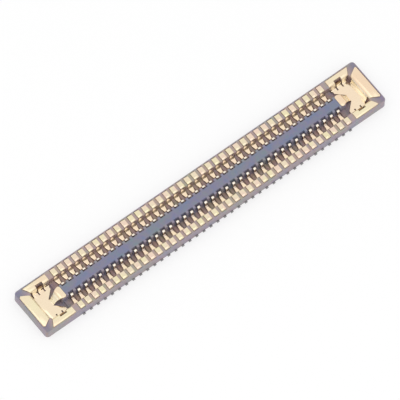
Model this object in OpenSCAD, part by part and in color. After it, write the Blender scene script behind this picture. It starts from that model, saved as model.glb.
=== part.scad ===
// Fine-pitch receptacle for joining a flexible circuit to a board.
// Two rows of formed contacts face a central island in a moulded housing,
// and a folded metal fitting guards each end. X runs along the rows, Y runs
// across them and Z points out of the board. The origin is the centre of the
// seating plane. All sizes are in millimetres.

/* [Overall] */
// Height of the metal tops above the board
height = 0.5; // [0.45:0.01:0.8]
// Width of the housing across both side walls
housing_w = 2.17; // [2.12:0.01:2.6]
// How far the plastic rim stays below the metal tops
rim_drop = 0.04; // [0.01:0.005:0.05]
// Radius of the housing's upright corners
corner_r = 0.15; // [0.08:0.01:0.2]

/* [Contacts] */
// Contacts in each row
contacts_per_row = 39; // [5:1:57]
// Distance between neighbouring contacts
pitch = 0.35; // [0.34:0.01:0.5]
// Thickness of the contact strip
strip_t = 0.06; // [0.04:0.005:0.07]
// Width of the contact where it wraps the side wall
pad_w = 0.215; // [0.17:0.005:0.23]
// Distance from the centre line to the point where the strip starts to narrow
taper_start_y = 0.66; // [0.6:0.005:0.69]
// Distance from the centre line to the point where it is as narrow as the arm
taper_end_y = 0.47; // [0.45:0.005:0.58]
// Width of the spring arm
arm_w = 0.115; // [0.08:0.005:0.15]
// Width of the solder tail
tail_w = 0.11; // [0.1:0.005:0.16]
// How far the tail reaches past the housing wall
tail_reach = 0.065; // [0.02:0.005:0.1]
// Clearance between metal and plastic
fit_gap = 0.01; // [0.005:0.001:0.012]
// Radius of the bends on the wall top, at the strip's middle
wall_bend_r = 0.045; // [0.045:0.005:0.07]
// Radius of the bends at the tail and at the foot of the inner leg
foot_bend_r = 0.045; // [0.04:0.005:0.06]
// Radius of the bends where the spring arm rises
arm_bend_r = 0.05; // [0.04:0.005:0.06]
// Distance from the centre line to the point where the arm starts to rise
arm_start_y = 0.43; // [0.42:0.005:0.45]
// Distance from the centre line to the arm's knee
arm_knee_y = 0.315; // [0.3:0.005:0.33]
// Height of the arm's knee above the board
arm_knee_z = 0.19; // [0.18:0.005:0.2]
// Distance from the centre line to the arm's face that touches the plug
arm_crest_y = 0.375; // [0.37:0.005:0.39]
// How far the arm's crest stays below the metal tops
arm_crest_drop = 0.05; // [0.03:0.005:0.07]
// Radius of the arm's crest, at the strip's middle
crest_r = 0.05; // [0.04:0.005:0.055]
// Distance from the centre line to the curled end of the arm
arm_end_y = 0.26; // [0.25:0.005:0.265]
// How far the curled end hangs below the crest
arm_end_drop = 0.02; // [0.01:0.005:0.03]

/* [Housing] */
// Distance from the centre line to the inner face of a side wall
trough_y = 0.7; // [0.66:0.01:0.75]
// Thickness of the plastic outside the contacts and fittings
skin_t = 0.045; // [0.04:0.005:0.1]
// Height of the trough floor above the board
floor_z = 0.14; // [0.12:0.005:0.15]
// Height of the plastic left below the contacts and fittings
base_t = 0.085; // [0.06:0.005:0.09]
// Half of the width of the island between its recesses
island_core_y = 0.17; // [0.14:0.005:0.19]
// Distance from the centre line to the ends of the island's ribs
island_rib_y = 0.275; // [0.26:0.005:0.29]
// Width of the recesses in the island
recess_w = 0.245; // [0.2:0.005:0.26]

/* [End fittings] */
// Thickness of the fitting's sheet metal
sheet_t = 0.06; // [0.05:0.005:0.06]
// Last contact to the near edge of the fitting
fitting_start = 0.36; // [0.33:0.01:0.6]
// Length of the cap over a side wall
side_cap_l = 1.11; // [1:0.01:1.4]
// End wall's inner side to the far inner corner of the side cap
corner_clear = 0.04; // [0.03:0.01:0.08]
// Side cap's near edge to the outer face of the end cap
fitting_l = 1.42; // [1.38:0.01:1.8]
// Depth of the end cap along the connector
end_cap_l = 0.47; // [0.44:0.01:0.5]
// Half of the width of the end cap at its outer side
end_cap_y = 0.81; // [0.72:0.01:0.84]
// Half of the width of the end cap at its inner side
end_cap_neck_y = 0.585; // [0.5:0.005:0.6]
// Corner that is cut off the end cap's outer side
end_cap_chamfer = 0.08; // [0.02:0.01:0.12]
// Radius of the end cap's inner bend, at the sheet's middle
end_bend_r = 0.15; // [0.1:0.01:0.18]
// Radius of the side caps' inner bends, at the sheet's middle
side_bend_r = 0.09; // [0.06:0.005:0.1]
// Radius of the bends at the caps' outer edges, at the sheet's middle
cap_edge_r = 0.05; // [0.04:0.005:0.07]
// Radius of the bends round the floor plate, at the sheet's middle
plate_bend_r = 0.06; // [0.04:0.005:0.08]
// Lean of the inner faces from the upright
face_lean = 0.05; // [0.01:0.01:0.08]
// Radius of the relief hole at each inner corner
relief_r = 0.13; // [0.1:0.01:0.15]
// Relief hole's centre to the inner face of the side wall
relief_inset = 0.08; // [0.05:0.01:0.09]
// Width of the lock spring in each side
spring_w = 0.21; // [0.15:0.01:0.3]
// Width of the slits beside the lock spring
slit_w = 0.06; // [0.03:0.005:0.08]
// How far the slits run from the side wall into the floor plate
slit_run = 0.18; // [0.15:0.01:0.22]
// Side cap's near edge to the middle of the lock spring
spring_x = 0.445; // [0.4:0.005:0.6]
// Height of the lock spring's tip above the board
spring_z = 0.34; // [0.32:0.005:0.4]
// How far the notch above the lock spring cuts into the side cap
notch_y = 0.135; // [0.12:0.005:0.15]
// Side cap's near edge to the root of the tongue on the floor plate
tongue_root_l = 0.44; // [0.43:0.005:0.5]
// Length of the floor plate's straight near edge next to each side bend
plate_edge_l = 0.11; // [0.03:0.01:0.14]
// Half of the width of the tongue's neck
tongue_neck_y = 0.15; // [0.1:0.005:0.18]
// Half of the width of the tongue on top of the island
tongue_top_y = 0.265; // [0.22:0.005:0.28]
// Side cap's near edge to the island's end face
island_end = 0.07; // [0.05:0.005:0.12]
// Length of the tongue on top of the island
tongue_top_l = 0.25; // [0.18:0.01:0.26]
// Length over which the tongue climbs to the island's top
tongue_rise_l = 0.29; // [0.15:0.01:0.3]
// Length of the wings at the tongue's end
tongue_wing_l = 0.13; // [0.1:0.01:0.16]
// Length over which the tongue widens from its neck to the wings
tongue_flare_l = 0.27; // [0.1:0.01:0.3]
// Corner that is cut off each wing
tongue_corner = 0.05; // [0.02:0.01:0.08]

/* [Hidden] */
// Overshoot of a cut past the face that it opens
over = 0.02;
// Overlap of the fitting's floor plate with the strips that leave it
plate_overlap = 0.02;
// Facets along each small bend
bend_steps = 4;
// Facets on round corners and holes
$fn = 48;

// Places along X
row_half = pitch * (contacts_per_row - 1) / 2;
fitting_x = row_half + fitting_start;
island_x = fitting_x + island_end;
cap_x = fitting_x + fitting_l;
housing_half_l = cap_x + skin_t;
end_wall_x = cap_x - end_cap_l;

// Places across Y
housing_half_w = housing_w / 2;
leg_y = housing_half_w - skin_t;
tail_y = housing_half_w + tail_reach;

// Heights
rim_z = height - rim_drop;
metal_floor_z = base_t + fit_gap;

// Slots in the plastic
slot_w = pad_w + 2 * fit_gap;

function pair_name(i) = str("contact_pair_", i < 9 ? "0" : "", i + 1);

// Points of a bent strip's outline. The path is a list of corners, each
// [x, y, radius] at the strip's middle, and the strip is t thick.
function unit(v) = v / norm(v);
function left_of(v) = [-v[1], v[0]];
function turned(v, a) = [v[0] * cos(a) - v[1] * sin(a), v[0] * sin(a) + v[1] * cos(a)];
function xy(p) = [p[0], p[1]];
function turn_angle(u, v) = atan2(u[0] * v[1] - u[1] * v[0], u * v);
function bend_side(before, corner, after, shift) =
    let (
        u = unit(xy(corner) - xy(before)),
        v = unit(xy(after) - xy(corner)),
        a = turn_angle(u, v),
        hand = sign(a),
        r = corner[2],
        centre = xy(corner) - u * r * tan(abs(a) / 2) + left_of(u) * hand * r,
        arm = -left_of(u) * hand * (r - hand * shift)
    )
    [for (k = [0 : bend_steps]) centre + turned(arm, a * k / bend_steps)];
function strip_side(path, shift) =
    let (
        n = len(path) - 1,
        u = unit(xy(path[1]) - xy(path[0])),
        v = unit(xy(path[n]) - xy(path[n - 1]))
    )
    concat(
        [xy(path[0]) + left_of(u) * shift],
        [for (i = [1 : n - 1]) each bend_side(path[i - 1], path[i], path[i + 1], shift)],
        [xy(path[n]) + left_of(v) * shift]
    );
function reversed(list) = [for (i = [len(list) - 1 : -1 : 0]) list[i]];
function strip_outline(path, t) = concat(
    strip_side(path, t / 2),
    reversed(strip_side(path, -t / 2))
);

// A profile drawn in Y and Z, drawn out along X over the given length
module along_x(length) {
    translate([-length / 2, 0, 0])
        rotate([90, 0, 90])
            linear_extrude(height = length)
                children();
}

// A profile drawn in X and Z, drawn out along Y over the given width
module along_y(width) {
    translate([0, width / 2, 0])
        rotate([90, 0, 0])
            linear_extrude(height = width)
                children();
}

// A plan view drawn in X and Y, as tall as the whole part and a little more
module full_height() {
    translate([0, 0, -over])
        linear_extrude(height = height + 2 * over)
            children();
}

// A shape and its mirror image across the connector's long middle plane
module both_sides() {
    children();
    mirror([0, 1, 0])
        children();
}

// A shape and its mirror image across the connector's short middle plane
module both_ends() {
    children();
    mirror([1, 0, 0])
        children();
}

// Path of the contact from its tail to the curled end of its spring arm
strip_mid = strip_t / 2;
crest_z = height - arm_crest_drop - strip_mid;
contact_path = [
    [tail_y, strip_mid, 0],
    [leg_y - strip_mid, strip_mid, foot_bend_r],
    [leg_y - strip_mid, height - strip_mid, wall_bend_r],
    [trough_y + strip_mid, height - strip_mid, wall_bend_r],
    [trough_y + strip_mid, metal_floor_z + strip_mid, foot_bend_r],
    [arm_start_y, metal_floor_z + strip_mid, arm_bend_r],
    [arm_knee_y, arm_knee_z, arm_bend_r],
    [arm_crest_y - strip_mid, crest_z, crest_r],
    [arm_end_y, crest_z - arm_end_drop, 0]
];

// Plan view of one contact
module contact_plan() {
    step_y = leg_y + fit_gap / 2;
    polygon([
        [-tail_w / 2, tail_y + over],
        [-tail_w / 2, step_y],
        [-pad_w / 2, step_y],
        [-pad_w / 2, taper_start_y],
        [-arm_w / 2, taper_end_y],
        [-arm_w / 2, 0],
        [arm_w / 2, 0],
        [arm_w / 2, taper_end_y],
        [pad_w / 2, taper_start_y],
        [pad_w / 2, step_y],
        [tail_w / 2, step_y],
        [tail_w / 2, tail_y + over]
    ]);
}

// One contact on the rear side, at the middle of the row
module contact() {
    intersection() {
        along_x(pad_w + over)
            polygon(strip_outline(contact_path, strip_t));
        full_height()
            contact_plan();
    }
}

// Two facing contacts, which are separate pieces
module contact_pair(i) {
    color("gold")
        translate([i * pitch - row_half, 0, 0])
            both_sides()
                contact();
}

// Section of the slot that holds a contact, on the rear side
module slot_section() {
    leg_in = leg_y - strip_t - fit_gap;
    wrap_in = trough_y + strip_t + fit_gap;
    core_top = height - strip_t - fit_gap;
    polygon([
        [leg_y + fit_gap, -over],
        [leg_y + fit_gap, height + over],
        [island_core_y, height + over],
        [island_core_y, base_t],
        [wrap_in, base_t],
        [wrap_in, core_top],
        [leg_in, core_top],
        [leg_in, -over]
    ]);
}

// Slots for the contacts at one place along the rows
module slot_pair() {
    both_sides() {
        along_x(slot_w)
            slot_section();
        translate([-recess_w / 2, island_core_y, base_t])
            cube([recess_w, island_rib_y + over - island_core_y, height]);
        translate([-tail_w / 2 - fit_gap, leg_y, -over])
            cube([tail_w + 2 * fit_gap, skin_t + over, strip_t + fit_gap + over]);
    }
}

// Path of the end cap, from the floor plate over the end wall to the board
sheet_mid = sheet_t / 2;
floor_mid_z = metal_floor_z + sheet_mid;
top_mid_z = height - sheet_mid;
plate_x = fitting_x + tongue_root_l;
function end_path(foot_z) = [
    [plate_x, floor_mid_z, 0],
    [end_wall_x + sheet_mid - face_lean, floor_mid_z, plate_bend_r],
    [end_wall_x + sheet_mid, top_mid_z, end_bend_r],
    [cap_x - sheet_mid, top_mid_z, cap_edge_r],
    [cap_x - sheet_mid, foot_z, 0]
];

// Path of a side cap, from the floor plate over the side wall to the board
plate_y = trough_y - face_lean - plate_bend_r;
plate_near_x = fitting_x + tongue_root_l * (trough_y - plate_y) / (trough_y - tongue_neck_y);
function side_path(foot_z) = [
    [plate_y - plate_overlap, floor_mid_z, 0],
    [trough_y + sheet_mid - face_lean, floor_mid_z, plate_bend_r],
    [trough_y + sheet_mid, top_mid_z, side_bend_r],
    [leg_y - sheet_mid, top_mid_z, cap_edge_r],
    [leg_y - sheet_mid, foot_z, 0]
];

// Path of the tongue, from the floor plate up and over the island's end
tongue_top_x = island_x + fit_gap + sheet_mid;
tongue_end_x = tongue_top_x - tongue_top_l;
tongue_path = [
    [plate_x + plate_overlap, floor_mid_z, 0],
    [tongue_top_x + tongue_rise_l, floor_mid_z, plate_bend_r],
    [tongue_top_x, top_mid_z, side_bend_r],
    [tongue_end_x, top_mid_z, 0]
];

// Plan view of the end cap and its leg, widened by the given gap
module end_cap_plan(gap) {
    wide_x = cap_x - end_cap_chamfer;
    wide_y = end_cap_y + gap;
    neck_y = end_cap_neck_y + gap;
    polygon([
        [plate_x, -neck_y],
        [end_wall_x, -neck_y],
        [wide_x, -wide_y],
        [cap_x + over, end_cap_chamfer - wide_y],
        [cap_x + over, wide_y - end_cap_chamfer],
        [wide_x, wide_y],
        [end_wall_x, neck_y],
        [plate_x, neck_y]
    ]);
}

// Plan view of the rear side cap and its leg, widened by the given gap
module side_cap_plan(gap) {
    near_x = fitting_x - gap;
    far_x = fitting_x + side_cap_l + gap;
    inner_x = end_wall_x - corner_clear + gap;
    polygon([
        [plate_near_x, plate_y - plate_overlap],
        [near_x, trough_y],
        [near_x, leg_y + over],
        [far_x, leg_y + over],
        [far_x, leg_y],
        [inner_x, trough_y],
        [inner_x, plate_y - plate_overlap]
    ]);
}

// End cap with its inner face and its leg, thickened by the given gap
module end_cap(gap) {
    intersection() {
        along_y(2 * (end_cap_y + gap) + over)
            polygon(strip_outline(end_path(-gap), sheet_t + 2 * gap));
        full_height()
            end_cap_plan(gap);
    }
}

// Rear side cap with its inner face and its leg, thickened by the given gap
module side_cap(gap) {
    intersection() {
        translate([cap_x, 0, 0])
            along_x(2 * fitting_l)
                polygon(strip_outline(side_path(-gap), sheet_t + 2 * gap));
        full_height()
            side_cap_plan(gap);
    }
}

// Outline of the plastic corner that makes room for a bend of the given outer radius
function corner_cut(face, reach) = [
    [face - over, height - reach],
    [face, height - reach],
    [face + reach, height],
    [face + reach, height + over],
    [face - over, height + over]
];

// Seat of the end cap in the end wall
module end_cap_seat() {
    end_cap(fit_gap);
    intersection() {
        along_y(housing_w)
            polygon(corner_cut(end_wall_x, end_bend_r + sheet_mid));
        full_height()
            end_cap_plan(fit_gap);
    }
}

// Seat of the rear side cap in the side wall
module side_cap_seat() {
    side_cap(fit_gap);
    intersection() {
        translate([cap_x, 0, 0])
            along_x(2 * fitting_l)
                polygon(corner_cut(trough_y, side_bend_r + sheet_mid));
        full_height()
            side_cap_plan(fit_gap);
    }
}

// Plan view of the tongue
module tongue_plan() {
    wing_x = tongue_end_x + tongue_wing_l;
    flare_x = wing_x + tongue_flare_l;
    polygon([
        [plate_x + plate_overlap, -tongue_neck_y],
        [flare_x, -tongue_neck_y],
        [wing_x, -tongue_top_y],
        [tongue_end_x + tongue_corner, -tongue_top_y],
        [tongue_end_x, -tongue_top_y + tongue_corner],
        [tongue_end_x, tongue_top_y - tongue_corner],
        [tongue_end_x + tongue_corner, tongue_top_y],
        [wing_x, tongue_top_y],
        [flare_x, tongue_neck_y],
        [plate_x + plate_overlap, tongue_neck_y]
    ]);
}

// Plan view of the floor plate, with both corners next to the island cut off
module plate_plan() {
    far_x = end_wall_x - face_lean - plate_bend_r;
    cut_y = plate_y - plate_edge_l;
    polygon([
        [plate_near_x, plate_y],
        [far_x, plate_y],
        [far_x, -plate_y],
        [plate_near_x, -plate_y],
        [plate_near_x, -cut_y],
        [plate_x, -tongue_neck_y],
        [plate_x, tongue_neck_y],
        [plate_near_x, cut_y]
    ]);
}

// Slits round the rear lock spring, and the notch above its tip
module spring_slits() {
    mid_x = fitting_x + spring_x;
    slit_start_y = trough_y - slit_run;
    for (side = [-1, 1])
        translate([mid_x + side * (spring_w + slit_w) / 2 - slit_w / 2, slit_start_y, -over])
            cube([slit_w, trough_y + notch_y - slit_start_y, height + 2 * over]);
    translate([mid_x - spring_w / 2 - slit_w, plate_y, spring_z])
        cube([spring_w + 2 * slit_w, trough_y + notch_y - plate_y, height]);
}

// One end fitting, cut and folded from a single sheet
module end_fitting() {
    color("khaki")
        difference() {
            union() {
                translate([0, 0, metal_floor_z])
                    linear_extrude(height = sheet_t)
                        plate_plan();
                end_cap(0);
                both_sides()
                    side_cap(0);
                intersection() {
                    along_y(2 * tongue_top_y + over)
                        polygon(strip_outline(tongue_path, sheet_t));
                    full_height()
                        tongue_plan();
                }
            }
            both_sides() {
                spring_slits();
                translate([end_wall_x, trough_y - relief_inset, -over])
                    cylinder(r = relief_r, h = height - sheet_t);
            }
        }
}
module end_fitting_left() {
    mirror([1, 0, 0])
        end_fitting();
}
module end_fitting_right() {
    end_fitting();
}

// Solid block of the housing with its upright corners rounded
module housing_block() {
    flat_x = housing_half_l - corner_r;
    flat_y = housing_half_w - corner_r;
    translate([-flat_x, -housing_half_w, 0])
        cube([2 * flat_x, housing_w, rim_z]);
    translate([-housing_half_l, -flat_y, 0])
        cube([2 * housing_half_l, 2 * flat_y, rim_z]);
    for (x = [-flat_x, flat_x], y = [-flat_y, flat_y])
        translate([x, y, 0])
            cylinder(r = corner_r, h = rim_z);
}

// Space between the four walls, above the trough floor
module trough() {
    translate([-end_wall_x, -trough_y, floor_z])
        cube([2 * end_wall_x, 2 * trough_y, height]);
}

// Central island, still without its recesses
module island() {
    translate([-island_x, -island_rib_y, base_t])
        cube([2 * island_x, 2 * island_rib_y, height - base_t]);
}

// Space above the lock spring of the right fitting, on the rear side
module spring_pocket() {
    pocket_l = spring_w + 2 * slit_w;
    translate([fitting_x + spring_x - pocket_l / 2, trough_y - over, base_t])
        cube([pocket_l, notch_y + over, height]);
}

// Lowered floor under the right fitting, and the seat of its tongue
module plate_seat() {
    near_x = fitting_x - fit_gap;
    difference() {
        translate([near_x, -trough_y, base_t])
            cube([end_wall_x - near_x, 2 * trough_y, height]);
        translate([0, -island_rib_y, 0])
            cube([island_x, 2 * island_rib_y, height]);
    }
    translate([tongue_end_x - fit_gap, -island_rib_y - over, height - sheet_t - fit_gap])
        cube([tongue_top_l, 2 * (island_rib_y + over), height]);
}

// Moulded housing with all its seats and slots
module housing() {
    color("slategray")
        difference() {
            union() {
                difference() {
                    housing_block();
                    trough();
                }
                island();
            }
            for (i = [0 : contacts_per_row - 1])
                translate([i * pitch - row_half, 0, 0])
                    slot_pair();
            both_ends() {
                both_sides() {
                    side_cap_seat();
                    spring_pocket();
                }
                end_cap_seat();
                plate_seat();
            }
        }
}

housing();
end_fitting_left();
end_fitting_right();
for (i = [0 : contacts_per_row - 1])
    contact_pair(i);
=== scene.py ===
"""Looks of the fpc connector: a low two-row receptacle with gold-plated spring contacts.

Everything is in metres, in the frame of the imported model. The camera looks down on the
part from the front left. In the materials, "aside" is the distance from the long middle
plane, "onward" the distance from the short one, and heights are above the board.
"""

import math

import bpy
from mathutils import Matrix, Vector


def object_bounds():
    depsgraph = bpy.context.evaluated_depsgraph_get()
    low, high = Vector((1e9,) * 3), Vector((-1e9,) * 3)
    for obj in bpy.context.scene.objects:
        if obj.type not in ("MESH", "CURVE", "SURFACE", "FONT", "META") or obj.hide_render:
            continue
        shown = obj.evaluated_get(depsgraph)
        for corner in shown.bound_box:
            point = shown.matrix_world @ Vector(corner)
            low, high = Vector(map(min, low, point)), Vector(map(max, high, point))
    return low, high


MM = 0.001
PER_MM = 1 / MM


def mm(*values):
    """Sizes in millimetres, as metres."""
    return tuple(value * MM for value in values)


def linear(red, green, blue):
    """An sRGB colour with parts from 0 to 255, as linear values."""
    parts = []
    for part in (red, green, blue):
        value = part / 255
        parts.append(value / 12.92 if value <= 0.04045 else ((value + 0.055) / 1.055) ** 2.4)
    return tuple(parts)


# Camera: direction from the object, roll, distance and framing
VIEW_LEFT = 0.2960
VIEW_FRONT = 0.3254
VIEW_ROLL = math.radians(34.49)
VIEW_DISTANCE = 400 * MM
FRAME_WIDTH = 15.737 * MM
AIM_RIGHT = -0.032 * MM
AIM_UP = -0.0567 * MM
AIM_HEIGHT = 0.25 * MM
SENSOR = 36.0
CLIP_NEAR = 0.01
CLIP_FAR = 10

# Surroundings
WHITE = (1.0, 1.0, 1.0, 1.0)
FLOOR_SIZE = 90 * MM
FLOOR_DROP = 0.004 * MM
FLOOR_PAPER = (0.98, 0.98, 0.98, 1.0)
FLOOR_ROUGHNESS = 0.8
FLOOR_GLOW_SHARE = 0.6
WORLD_STRENGTH = 0.9
SHOWN_STRENGTH = 1.0
LAMPS = (
    # name, place, size and brightness
    ("front_box", mm(0, -45, 85), 90 * MM, 0.35),
    ("left_box", mm(-40, 15, 85), 60 * MM, 0.5),
)

# Edge rounding
METAL_EDGE = 0.007 * MM
PLASTIC_EDGE = 0.008 * MM
EDGE_STEPS = 2
WELD_REACH = 0.0002 * MM
FLAT_ANGLE = math.radians(1.0)
CRISP_ANGLE = math.radians(35)
FACE_WEIGHT = 80

# Gold plating of the contacts
CONTACT_DRIFT = 2.4 * PER_MM
CONTACT_TONES = (
    (0.36, linear(242, 217, 197)),
    (0.5, linear(240, 225, 197)),
    (0.66, linear(240, 229, 190)),
)
# Painted reflection: a paler peach tone on the flat strip low in the trough, for the light it
# reflects
CONTACT_FLAT_REFLECTION = linear(255, 231, 200)
# Painted shade: a darker tone on the rising arm below the tip
CONTACT_ARM_SHADE = linear(196, 178, 164)
# Painted light and shade: a paler, greyer tone on the strip where it runs down the inside of
# the side wall
CONTACT_WALL_LIGHTING = linear(236, 229, 222)
# Painted shade: a brown line in the crease where the strip bends up from the trough
CONTACT_FOLD_SHADE = linear(168, 148, 122)
# Painted highlight: a near-white tone on the rounded tips
TIP_HIGHLIGHT = linear(248, 237, 221)
# Tin grey of the tails, darkened with painted shade for their shadowed side
TIN_AND_SHADE = linear(140, 138, 140)
CONTACT_GRAIN = 26 * PER_MM

# Gold plating of the end fittings
FITTING_DRIFT = 0.9 * PER_MM
FITTING_TONES = (
    (0.36, linear(246, 220, 190)),
    (0.5, linear(245, 228, 198)),
    (0.66, linear(245, 234, 198)),
)
# Painted reflection: a peach tone on the floor-level plate, for the light it reflects
FITTING_PLATE_REFLECTION = linear(247, 222, 191)
# Painted light: a paler cream tone on the upright faces of the fitting
FITTING_WALL_LIGHT = linear(255, 248, 230)
# A darker brown band across the tip of each fitting's spring
SPRING_TIP_BROWN = linear(158, 126, 90)
FITTING_GRAIN = 20 * PER_MM

# Finish of the plating
GOLD_DARK = (0.95, 0.94, 0.92)
GOLD_ROUGHNESS = (0.08, 0.18)
STREAK_STRETCH = (0.25, 1.0, 1.0)
STREAK_DEPTH = 0.0004 * MM
STREAK_STRENGTH = 0.4

# Range of a noise over which a finish changes, and the tint that changes nothing
GRAIN_SPREAD = (0.3, 0.7)
UNTINTED = (1.0, 1.0, 1.0)

# Housing resin: one dark resin, painted in lit and shaded tones zone by zone
# Painted sheen: a cooler blue-grey on the island's top, for the light it reflects
RESIN_ISLAND_SHEEN = linear(133, 137, 156)
# Painted light: a lighter grey on the ribs beside the island
RESIN_RIB = linear(150, 146, 156)
# Painted reflection: the troughs are browned by the gold that faces them
RESIN_TROUGH_REFLECTION = linear(172, 149, 137)
# Painted shade: a darker tone in the deep pockets by the end fittings
RESIN_WELL_SHADE = linear(154, 136, 139)
# Painted light and shade: the rim tops, outer faces and end tops of the same resin, each in
# its own lit tone
RESIN_RIM = linear(184, 169, 157)
RESIN_SIDE = linear(166, 157, 162)
RESIN_END = linear(142, 136, 152)
RESIN_DARK = (0.88, 0.88, 0.88)
RESIN_TINTS = (
    (0.34, (0.85, 0.93, 1.0)),
    (0.45, (0.96, 0.91, 1.0)),
    (0.55, (1.0, 0.95, 0.93)),
    (0.66, (0.91, 1.0, 0.94)),
)
TINT_SCALES = (1.1 * PER_MM, 4.5 * PER_MM)
RESIN_GRAIN = 32 * PER_MM
RESIN_ROUGHNESS = (0.38, 0.56)
FIBRE_GRAIN = 40 * PER_MM
FIBRE_STRETCH = (0.3, 1.0, 1.0)
FIBRE_DEPTH = 0.0015 * MM
FIBRE_STRENGTH = 0.5

# Zones of a contact. An edge is a (start, end) pair, and a band also has a soft width.
FLAT_TOP_Z = mm(0.157, 0.165)
FLAT_SHARE = 0.8
WALL_Z = mm(0.20, 0.43, 0.03)
ARM_Z = mm(0.165, 0.34, 0.008)
ARM_ROOT_Y = mm(0.45, 0.50)
FOLD_Y = mm(0.65, 0.69, 0.012)
FOLD_TOP_Z = mm(0.20, 0.24)
TIP_Z = mm(0.36, 0.42)
TIP_Y = mm(0.40, 0.46)
TAIL_Y = mm(1.04, 1.06)
PAD_Y = mm(0.73, 1.01)
PAD_CROWN = 0.012 * MM

# Zones of an end fitting
PLATE_Z = mm(0.17, 0.22)
PLATE_SHARE = 0.6
UPRIGHT_Z = mm(0.18, 0.42, 0.03)
SPRING_TIP_Z = mm(0.332, 0.35, 0.004)
SPRING_X = mm(7.35, 7.56, 0.005)
BEND_Z = mm(0.26, 0.485, 0.02)
BEND_DULLNESS = 0.3

# Zones of the housing, whose edges wander a little
WANDER = 0.03 * MM
WANDER_SCALE = 3.0 * PER_MM
CORE_Y = mm(0.15, 0.21)
ISLAND_Y = mm(0.27, 0.35)
ISLAND_X = mm(7.05, 7.10)
WELL_X = mm(6.95, 7.60, 0.10)
WELL_Y = mm(0.60, 0.66)
RIM_Z = mm(0.30, 0.44)
RIM_Y = mm(0.68, 0.76)
END_X = mm(7.9, 8.3)
SIDE_FACE_Y = mm(1.03, 1.07)
END_FACE_X = mm(8.44, 8.46)


# ---------------------------------------------------------------- shader helpers

class Tree:
    """A material's node tree with short calls for the nodes used here."""

    def __init__(self, name):
        self.material = bpy.data.materials.new(name)
        self.material.use_nodes = True
        self.nodes = self.material.node_tree.nodes
        self.links = self.material.node_tree.links
        self.shader = self.nodes["Principled BSDF"]
        self.space = self.nodes.new("ShaderNodeTexCoord").outputs["Object"]

    def link(self, source, target):
        self.links.new(source, target)

    def scaled(self, factors):
        """Object coordinates, stretched by the given factors."""
        node = self.nodes.new("ShaderNodeMapping")
        node.inputs["Scale"].default_value = factors
        self.link(self.space, node.inputs["Vector"])
        return node.outputs["Vector"]

    def noise(self, scale, detail, rough=0.55, space=None):
        node = self.nodes.new("ShaderNodeTexNoise")
        node.inputs["Scale"].default_value = scale
        node.inputs["Detail"].default_value = detail
        node.inputs["Roughness"].default_value = rough
        self.link(space or self.space, node.inputs["Vector"])
        return node.outputs["Fac"]

    def ramp(self, source, stops):
        """stops: (position, colour) pairs."""
        node = self.nodes.new("ShaderNodeValToRGB")
        steps = node.color_ramp.elements
        while len(steps) < len(stops):
            steps.new(0.5)
        for step, (position, colour) in zip(steps, stops):
            step.position = position
            step.color = (*colour, 1.0)
        self.link(source, node.inputs["Fac"])
        return node.outputs["Color"]

    def place(self):
        """Object coordinates as three separate values."""
        node = self.nodes.new("ShaderNodeSeparateXYZ")
        self.link(self.space, node.inputs["Vector"])
        return node.outputs["X"], node.outputs["Y"], node.outputs["Z"]

    def span(self, source, low, high, start, end):
        """A value from low to high, as the source goes from start to end."""
        node = self.nodes.new("ShaderNodeMapRange")
        node.inputs["From Min"].default_value = start
        node.inputs["From Max"].default_value = end
        node.inputs["To Min"].default_value = low
        node.inputs["To Max"].default_value = high
        self.link(source, node.inputs["Value"])
        return node.outputs["Result"]

    def past(self, source, edge):
        """0 before the edge and 1 past it."""
        return self.span(source, 0.0, 1.0, *edge)

    def before(self, source, edge, most=1.0):
        """The value of most before the edge and 0 past it."""
        return self.span(source, most, 0.0, *edge)

    def within(self, source, band):
        """1 from the band's low to its high end, fading to 0 over its soft width outside."""
        low, high, soft = band
        rise = self.past(source, (low - soft, low))
        fall = self.before(source, (high, high + soft))
        return self.both(rise, fall)

    def both(self, first, second):
        return self.combine("MULTIPLY", first, second)

    def either(self, first, second):
        return self.combine("MAXIMUM", first, second)

    def distance(self, value):
        return self.combine("ABSOLUTE", value)

    def combine(self, operation, first, second=None):
        node = self.nodes.new("ShaderNodeMath")
        node.operation = operation
        self.feed(first, node.inputs[0])
        if second is not None:
            self.feed(second, node.inputs[1])
        return node.outputs["Value"]

    def mix(self, amount, first, second, blend="MIX"):
        node = self.nodes.new("ShaderNodeMix")
        node.data_type = "RGBA"
        node.blend_type = blend
        for value, socket in ((amount, node.inputs["Factor"]),
                              (first, node.inputs["A"]), (second, node.inputs["B"])):
            self.feed(value, socket)
        return node.outputs["Result"]

    def shaded(self, tone, fine, dark):
        """The tone, darkened where the fine noise is low."""
        low, high = GRAIN_SPREAD
        shade = self.ramp(fine, ((low, dark), (high, UNTINTED)))
        return self.mix(1.0, tone, shade, "MULTIPLY")

    def feed(self, value, socket):
        if isinstance(value, bpy.types.NodeSocket):
            self.link(value, socket)
        elif isinstance(value, tuple) and len(value) == 3:
            socket.default_value = (*value, 1.0)
        else:
            socket.default_value = value

    def bump(self, height, depth, strength=1.0, after=None):
        node = self.nodes.new("ShaderNodeBump")
        node.inputs["Strength"].default_value = strength
        node.inputs["Distance"].default_value = depth
        self.link(height, node.inputs["Height"])
        if after is not None:
            self.link(after, node.inputs["Normal"])
        return node.outputs["Normal"]


# ---------------------------------------------------------------- materials

def gold_plating(tree, tone, grain, form=None, dull=None):
    """Thin gold over nickel in the given tone, with the fine grain of rolled strip."""
    fine = tree.noise(grain, detail=4.0, rough=0.6)
    tree.feed(tree.shaded(tone, fine, GOLD_DARK), tree.shader.inputs["Base Color"])
    tree.shader.inputs["Metallic"].default_value = 1.0
    rough = tree.span(fine, *GOLD_ROUGHNESS, *GRAIN_SPREAD)
    if dull is not None:
        rough = tree.combine("ADD", rough, dull)
    tree.link(rough, tree.shader.inputs["Roughness"])
    streaks = tree.noise(grain, detail=2.0, space=tree.scaled(STREAK_STRETCH))
    relief = tree.bump(streaks, STREAK_DEPTH, STREAK_STRENGTH, form)
    tree.link(relief, tree.shader.inputs["Normal"])


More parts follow.
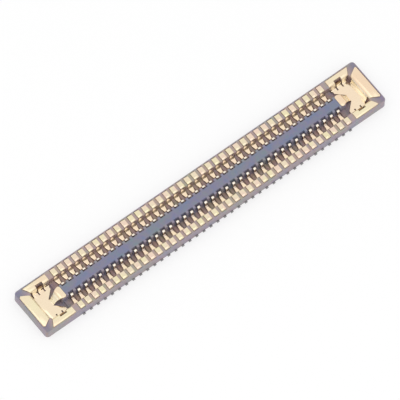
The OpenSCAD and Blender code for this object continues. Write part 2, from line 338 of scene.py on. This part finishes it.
def pad_crown(tree, aside):
    """The strip's slight crown across the top of the side wall."""
    share = tree.span(aside, -1.0, 1.0, *PAD_Y)
    dip = tree.both(share, share)
    return tree.bump(tree.combine("SUBTRACT", 1.0, dip), PAD_CROWN)


def contact_material():
    """Tone drifts from contact to contact; painted tones stand in for light and shade on the
    flat strip, arm, upright and fold, the tips carry a painted highlight and the tails are
    tin grey darkened with painted shade.
    """
    tree = Tree("contact_gold")
    tone = tree.ramp(tree.noise(CONTACT_DRIFT, detail=1.5, rough=0.4), CONTACT_TONES)
    _, across, height = tree.place()
    aside = tree.distance(across)
    tone = tree.mix(tree.before(height, FLAT_TOP_Z, FLAT_SHARE), tone, CONTACT_FLAT_REFLECTION)
    tone = tree.mix(tree.within(height, WALL_Z), tone, CONTACT_WALL_LIGHTING)
    arm = tree.both(tree.within(height, ARM_Z), tree.before(aside, ARM_ROOT_Y))
    tone = tree.mix(arm, tone, CONTACT_ARM_SHADE)
    fold = tree.both(tree.within(aside, FOLD_Y), tree.before(height, FOLD_TOP_Z))
    tone = tree.mix(fold, tone, CONTACT_FOLD_SHADE)
    tip = tree.both(tree.past(height, TIP_Z), tree.before(aside, TIP_Y))
    tone = tree.mix(tip, tone, TIP_HIGHLIGHT)
    tone = tree.mix(tree.past(aside, TAIL_Y), tone, TIN_AND_SHADE)
    gold_plating(tree, tone, CONTACT_GRAIN, form=pad_crown(tree, aside))
    return tree.material


def fitting_material():
    """Tone drifts over the folded sheet; its plate has a painted reflection tone, its upright
    faces are painted paler as light, its spring's tip has a darker brown band, and its bends
    are duller.
    """
    tree = Tree("fitting_gold")
    tone = tree.ramp(tree.noise(FITTING_DRIFT, detail=1.5, rough=0.4), FITTING_TONES)
    along, _, height = tree.place()
    tone = tree.mix(tree.before(height, PLATE_Z, PLATE_SHARE), tone, FITTING_PLATE_REFLECTION)
    tone = tree.mix(tree.within(height, UPRIGHT_Z), tone, FITTING_WALL_LIGHT)
    spring_tip = tree.both(tree.within(height, SPRING_TIP_Z),
                           tree.within(tree.distance(along), SPRING_X))
    tone = tree.mix(spring_tip, tone, SPRING_TIP_BROWN)
    dull = tree.both(tree.within(height, BEND_Z), BEND_DULLNESS)
    gold_plating(tree, tone, FITTING_GRAIN, dull=dull)
    return tree.material


def housing_tone(tree):
    """Painted light and shade on one resin: mauve walls, troughs with a painted reflection,
    painted shade in the wells and an island with a cooler painted sheen, before the finer
    tints.
    """
    along, across, height = tree.place()
    wander = tree.span(tree.noise(WANDER_SCALE, detail=2.0), -WANDER, WANDER, *GRAIN_SPREAD)
    aside = tree.combine("ADD", tree.distance(across), wander)
    onward = tree.distance(along)
    tone = tree.mix(tree.past(aside, CORE_Y), RESIN_ISLAND_SHEEN, RESIN_RIB)
    beyond_island = tree.past(onward, ISLAND_X)
    trough = tree.either(tree.past(aside, ISLAND_Y), beyond_island)
    tone = tree.mix(trough, tone, RESIN_TROUGH_REFLECTION)
    well = tree.both(tree.within(onward, WELL_X), tree.before(aside, WELL_Y))
    tone = tree.mix(tree.both(well, trough), tone, RESIN_WELL_SHADE)
    high = tree.past(height, RIM_Z)
    outer = tree.either(tree.past(aside, RIM_Y), beyond_island)
    tone = tree.mix(tree.both(high, outer), tone, RESIN_RIM)
    tone = tree.mix(tree.both(tree.past(onward, END_X), high), tone, RESIN_END)
    outside = tree.either(tree.past(aside, SIDE_FACE_Y), tree.past(onward, END_FACE_X))
    return tree.mix(outside, tone, RESIN_SIDE)


def housing_material():
    """Filled resin in a satin finish, with drifting tints and fine fibres."""
    tree = Tree("housing_resin")
    tone = housing_tone(tree)
    for scale in TINT_SCALES:
        tint = tree.ramp(tree.noise(scale, detail=2.0, rough=0.5), RESIN_TINTS)
        tone = tree.mix(1.0, tone, tint, "MULTIPLY")
    grain = tree.noise(RESIN_GRAIN, detail=5.0, rough=0.65)
    tree.feed(tree.shaded(tone, grain, RESIN_DARK), tree.shader.inputs["Base Color"])
    rough = tree.span(grain, *RESIN_ROUGHNESS, *GRAIN_SPREAD)
    tree.link(rough, tree.shader.inputs["Roughness"])
    fibres = tree.noise(FIBRE_GRAIN, detail=3.0, space=tree.scaled(FIBRE_STRETCH))
    relief = tree.bump(fibres, FIBRE_DEPTH, FIBRE_STRENGTH)
    tree.link(relief, tree.shader.inputs["Normal"])
    return tree.material


# ---------------------------------------------------------------- pieces

def modifier(piece, kind, **values):
    made = piece.modifiers.new(kind.title(), kind)
    for key, value in values.items():
        setattr(made, key, value)


def round_edges(piece, width):
    """Rounds the crisp edges of a CAD solid and shades its small bends smoothly."""
    modifier(piece, "WELD", merge_threshold=WELD_REACH)
    modifier(piece, "DECIMATE", decimate_type="DISSOLVE", angle_limit=FLAT_ANGLE)
    modifier(piece, "BEVEL", width=width, segments=EDGE_STEPS, limit_method="ANGLE",
             angle_limit=CRISP_ANGLE, use_clamp_overlap=True, harden_normals=False)
    modifier(piece, "WEIGHTED_NORMAL", mode="FACE_AREA", weight=FACE_WEIGHT, keep_sharp=False)


def dress(piece, material, edge):
    for entry in piece.material_slots:
        entry.material = material
    round_edges(piece, edge)


def dress_part(nodes):
    contact = contact_material()
    fitting = fitting_material()
    for name, piece in nodes.items():
        if name.startswith("contact"):
            dress(piece, contact, METAL_EDGE)
        elif name.startswith("end_fitting"):
            dress(piece, fitting, METAL_EDGE)
        else:
            dress(piece, housing_material(), PLASTIC_EDGE)


# ---------------------------------------------------------------- surroundings

def larger(tree, first, second):
    node = tree.nodes.new("ShaderNodeMath")
    node.operation = "MAXIMUM"
    tree.links.new(first, node.inputs[0])
    tree.links.new(second, node.inputs[1])
    return node.outputs["Value"]


def seen_directly(tree):
    """1 for camera, glossy and transmission rays, and 0 for diffuse light."""
    path = tree.nodes.new("ShaderNodeLightPath")
    seen = path.outputs["Is Camera Ray"]
    for name in ("Is Glossy Ray", "Is Transmission Ray"):
        seen = larger(tree, seen, path.outputs[name])
    return seen


def floor_paper():
    """White paper that glows a little towards the camera, so that it stays white."""
    material = bpy.data.materials.new("floor_paper")
    material.use_nodes = True
    tree = material.node_tree
    paper = tree.nodes["Principled BSDF"]
    paper.inputs["Base Color"].default_value = FLOOR_PAPER
    paper.inputs["Roughness"].default_value = FLOOR_ROUGHNESS
    glow = tree.nodes.new("ShaderNodeEmission")
    glow.inputs["Color"].default_value = WHITE
    glow.inputs["Strength"].default_value = SHOWN_STRENGTH
    share = tree.nodes.new("ShaderNodeMath")
    share.operation = "MULTIPLY"
    share.inputs[1].default_value = FLOOR_GLOW_SHARE
    tree.links.new(seen_directly(tree), share.inputs[0])
    blend = tree.nodes.new("ShaderNodeMixShader")
    tree.links.new(share.outputs["Value"], blend.inputs["Fac"])
    tree.links.new(paper.outputs["BSDF"], blend.inputs[1])
    tree.links.new(glow.outputs["Emission"], blend.inputs[2])
    tree.links.new(blend.outputs["Shader"], tree.nodes["Material Output"].inputs["Surface"])
    return material


def white_floor(low_z):
    bpy.ops.mesh.primitive_plane_add(size=FLOOR_SIZE, location=(0, 0, low_z - FLOOR_DROP))
    floor = bpy.context.object
    floor.name = "floor"
    floor.data.materials.append(floor_paper())


def white_world():
    """Even light, a little weaker than the white that is seen."""
    world = bpy.data.worlds.new("studio")
    bpy.context.scene.world = world
    world.use_nodes = True
    tree = world.node_tree
    light = tree.nodes["Background"]
    light.inputs["Color"].default_value = WHITE
    light.inputs["Strength"].default_value = WORLD_STRENGTH
    shown = tree.nodes.new("ShaderNodeBackground")
    shown.inputs["Color"].default_value = WHITE
    shown.inputs["Strength"].default_value = SHOWN_STRENGTH
    blend = tree.nodes.new("ShaderNodeMixShader")
    tree.links.new(seen_directly(tree), blend.inputs["Fac"])
    tree.links.new(light.outputs["Background"], blend.inputs[1])
    tree.links.new(shown.outputs["Background"], blend.inputs[2])
    tree.links.new(blend.outputs["Shader"], tree.nodes["World Output"].inputs["Surface"])


def soft_lamp(name, place, size, brightness):
    """A square lamp that faces the part, as bright as a surface of the given strength."""
    data = bpy.data.lights.new(name, "AREA")
    data.size = size
    data.energy = brightness * math.pi * size ** 2
    lamp = bpy.data.objects.new(name, data)
    bpy.context.scene.collection.objects.link(lamp)
    lamp.location = place
    lamp.rotation_euler = (-Vector(place)).to_track_quat("-Z", "Y").to_euler()


def place_camera():
    up = math.sqrt(1 - VIEW_LEFT ** 2 - VIEW_FRONT ** 2)
    back = Vector((-VIEW_LEFT, -VIEW_FRONT, up))
    along = (Vector((1, 0, 0)) + VIEW_LEFT * back).normalized()
    across = back.cross(along)
    right = math.cos(VIEW_ROLL) * along - math.sin(VIEW_ROLL) * across
    upward = math.sin(VIEW_ROLL) * along + math.cos(VIEW_ROLL) * across
    aim = Vector((0, 0, AIM_HEIGHT)) + AIM_RIGHT * right + AIM_UP * upward
    data = bpy.data.cameras.new("camera")
    data.sensor_width = SENSOR
    data.lens = SENSOR * VIEW_DISTANCE / FRAME_WIDTH
    data.clip_start = CLIP_NEAR
    data.clip_end = CLIP_FAR
    camera = bpy.data.objects.new("camera", data)
    bpy.context.scene.collection.objects.link(camera)
    pose = Matrix((right, upward, back)).transposed().to_4x4()
    pose.translation = aim + VIEW_DISTANCE * back
    camera.matrix_world = pose
    bpy.context.scene.camera = camera


def plain(box):
    return [[float(value) for value in corner] for corner in box]


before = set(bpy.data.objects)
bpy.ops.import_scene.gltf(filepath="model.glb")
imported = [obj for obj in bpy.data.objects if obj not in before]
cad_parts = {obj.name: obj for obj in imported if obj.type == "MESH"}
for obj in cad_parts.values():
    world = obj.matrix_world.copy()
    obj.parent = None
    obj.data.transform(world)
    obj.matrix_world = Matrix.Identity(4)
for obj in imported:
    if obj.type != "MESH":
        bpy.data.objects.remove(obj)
cad_box = plain(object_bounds())
place_camera()
dress_part(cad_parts)
white_floor(cad_box[0][2])
white_world()
for lamp in LAMPS:
    soft_lamp(*lamp)
bpy.context.scene.view_settings.view_transform = "Standard"
